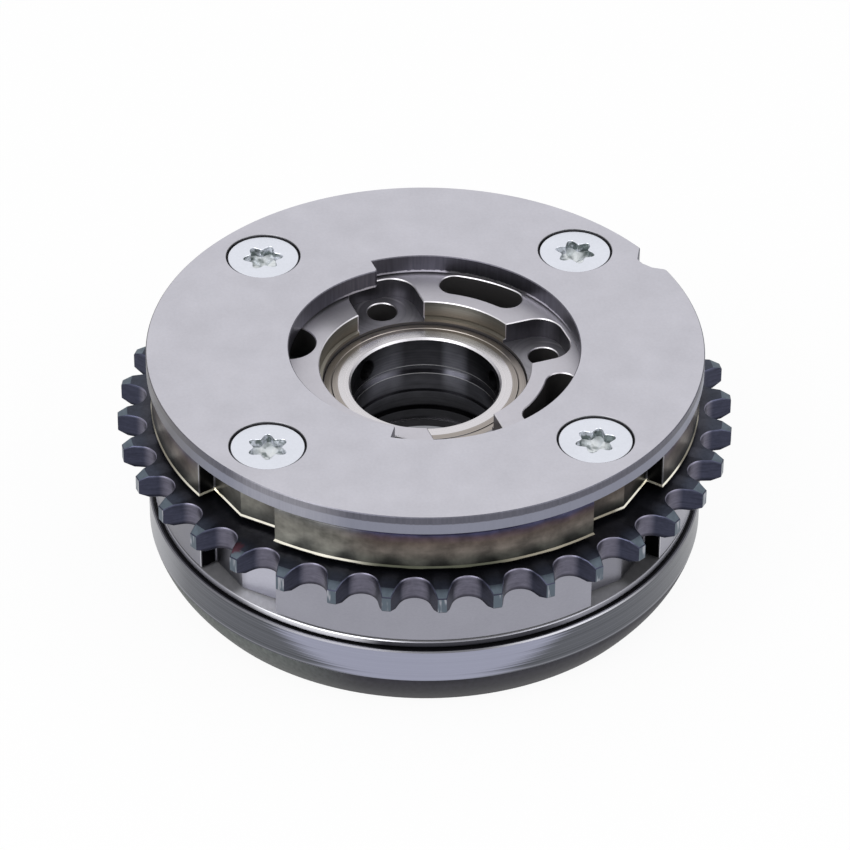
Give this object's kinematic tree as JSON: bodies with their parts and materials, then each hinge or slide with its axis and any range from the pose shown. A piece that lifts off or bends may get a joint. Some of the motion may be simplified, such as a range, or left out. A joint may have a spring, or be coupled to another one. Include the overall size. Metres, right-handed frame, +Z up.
{
  "type": "cam phaser",
  "caption": "Hydraulic vane-type cam phaser with an integral roller-chain sprocket, a ground cover held by countersunk screws, and a rotor with vanes and a sprung lock pin.",
  "frame": {"origin": "centre of the rear plate's outer face, at the bottom of the part", "axes": "+Z up the cam axis from the rear plate to the cover plate; -Y towards the side the picture shows nearest"},
  "size_m": [0.0954, 0.0954, 0.0373],
  "materials": {
    "ground_steel": "ground flat, fine matt",
    "turned_steel": "turned, satin",
    "sintered_steel": "sintered and steam treated, blue-grey",
    "rotor_steel": "ground face, sintered body",
    "sleeve_steel": "turned, slightly straw tinted",
    "bright_zinc": "bright zinc",
    "hardened_steel": "hardened and ground",
    "spring_steel": "drawn wire and strip",
    "seal_plastic": "moulded, dark"
  },
  "bodies": {
    "housing": {"rear_plate": "turned_steel", "stator_sprocket": "sintered_steel", "cover_plate": "ground_steel", "lock_bush": "hardened_steel", "cover_screw_1": "bright_zinc", "cover_screw_2": "bright_zinc", "cover_screw_3": "bright_zinc", "cover_screw_4": "bright_zinc"},
    "rotor": {"rotor": "rotor_steel", "centre_sleeve": "sleeve_steel", "lock_pin_plug": "turned_steel", "lock_spring": "spring_steel", "vane_seal_1": "seal_plastic", "vane_seal_2": "seal_plastic", "vane_seal_3": "seal_plastic", "vane_seal_4": "seal_plastic", "vane_seal_spring_1": "spring_steel", "vane_seal_spring_2": "spring_steel", "vane_seal_spring_3": "spring_steel", "vane_seal_spring_4": "spring_steel"},
    "lock_pin": {"lock_pin": "hardened_steel"}
  },
  "joints": [
    {"name": "rotor_swing", "type": "hinge", "parent": "housing", "child": "rotor", "pos_m": [0, 0, 0.023], "axis": [0, 0, 1], "range_deg": [0, 30]},
    {"name": "lock_pin_slide", "type": "slide", "parent": "rotor", "child": "lock_pin", "axis": [0, 0, 1], "range_m": [0, 0.0028], "stiffness_N_per_m": 600, "springref_m": -0.004, "deforming": ["lock_spring"]}
  ]
}
